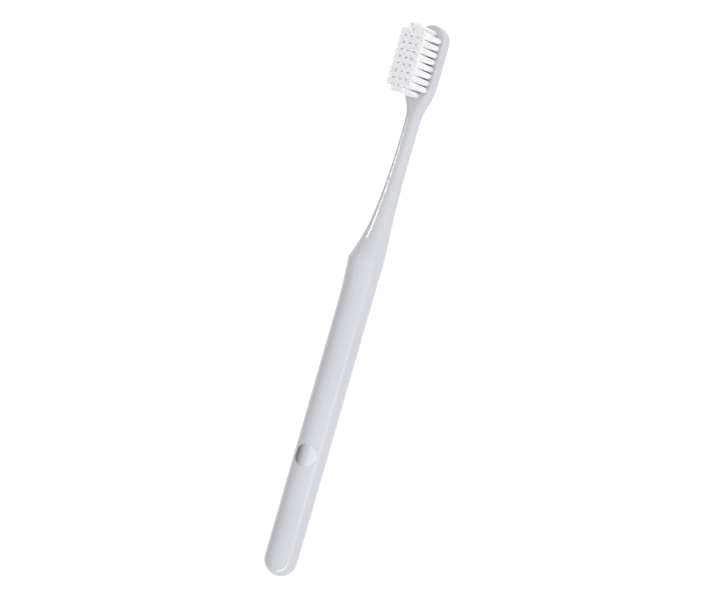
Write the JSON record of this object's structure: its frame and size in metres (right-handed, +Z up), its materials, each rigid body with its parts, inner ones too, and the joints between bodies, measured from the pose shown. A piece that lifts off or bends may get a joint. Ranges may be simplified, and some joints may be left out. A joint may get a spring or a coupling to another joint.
{
  "type": "manual toothbrush",
  "caption": "Manual toothbrush with a straight round grip, a thumb ridge, a slim neck and a flat rounded head set with upright bristle tufts.",
  "frame": {"origin": "middle of the brush's length and width, on the plane that its straight back rests on", "axes": "+X along the brush from the butt of the grip to the head, +Z up from the back to the bristle tips"},
  "size_m": [0.182, 0.011, 0.017],
  "materials": {
    "handle_plastic": "polished moulding",
    "bristle_nylon": "white nylon filament",
    "anchor_metal": "drawn flat wire",
    "silver_foil": "silver foil"
  },
  "bodies": {
    "root": {"anchor_plates": "anchor_metal", "badge_disc": "silver_foil", "handle_body": "handle_plastic", "tuft_neck_1": "bristle_nylon", "tuft_neck_2": "bristle_nylon", "tuft_row1_1": "bristle_nylon", "tuft_row1_2": "bristle_nylon", "tuft_row1_3": "bristle_nylon", "tuft_row1_4": "bristle_nylon", "tuft_row2_1": "bristle_nylon", "tuft_row2_2": "bristle_nylon", "tuft_row2_3": "bristle_nylon", "tuft_row2_4": "bristle_nylon", "tuft_row3_1": "bristle_nylon", "tuft_row3_2": "bristle_nylon", "tuft_row3_3": "bristle_nylon", "tuft_row3_4": "bristle_nylon", "tuft_row4_1": "bristle_nylon", "tuft_row4_2": "bristle_nylon", "tuft_row4_3": "bristle_nylon", "tuft_row4_4": "bristle_nylon", "tuft_row5_1": "bristle_nylon", "tuft_row5_2": "bristle_nylon", "tuft_row5_3": "bristle_nylon", "tuft_row5_4": "bristle_nylon", "tuft_row6_1": "bristle_nylon", "tuft_row6_2": "bristle_nylon", "tuft_row6_3": "bristle_nylon", "tuft_row6_4": "bristle_nylon", "tuft_row7_1": "bristle_nylon", "tuft_row7_2": "bristle_nylon", "tuft_row7_3": "bristle_nylon", "tuft_row7_4": "bristle_nylon", "tuft_row8_1": "bristle_nylon", "tuft_row8_2": "bristle_nylon", "tuft_row8_3": "bristle_nylon", "tuft_row8_4": "bristle_nylon", "tuft_tip_1": "bristle_nylon", "tuft_tip_2": "bristle_nylon"}
  },
  "joints": []
}
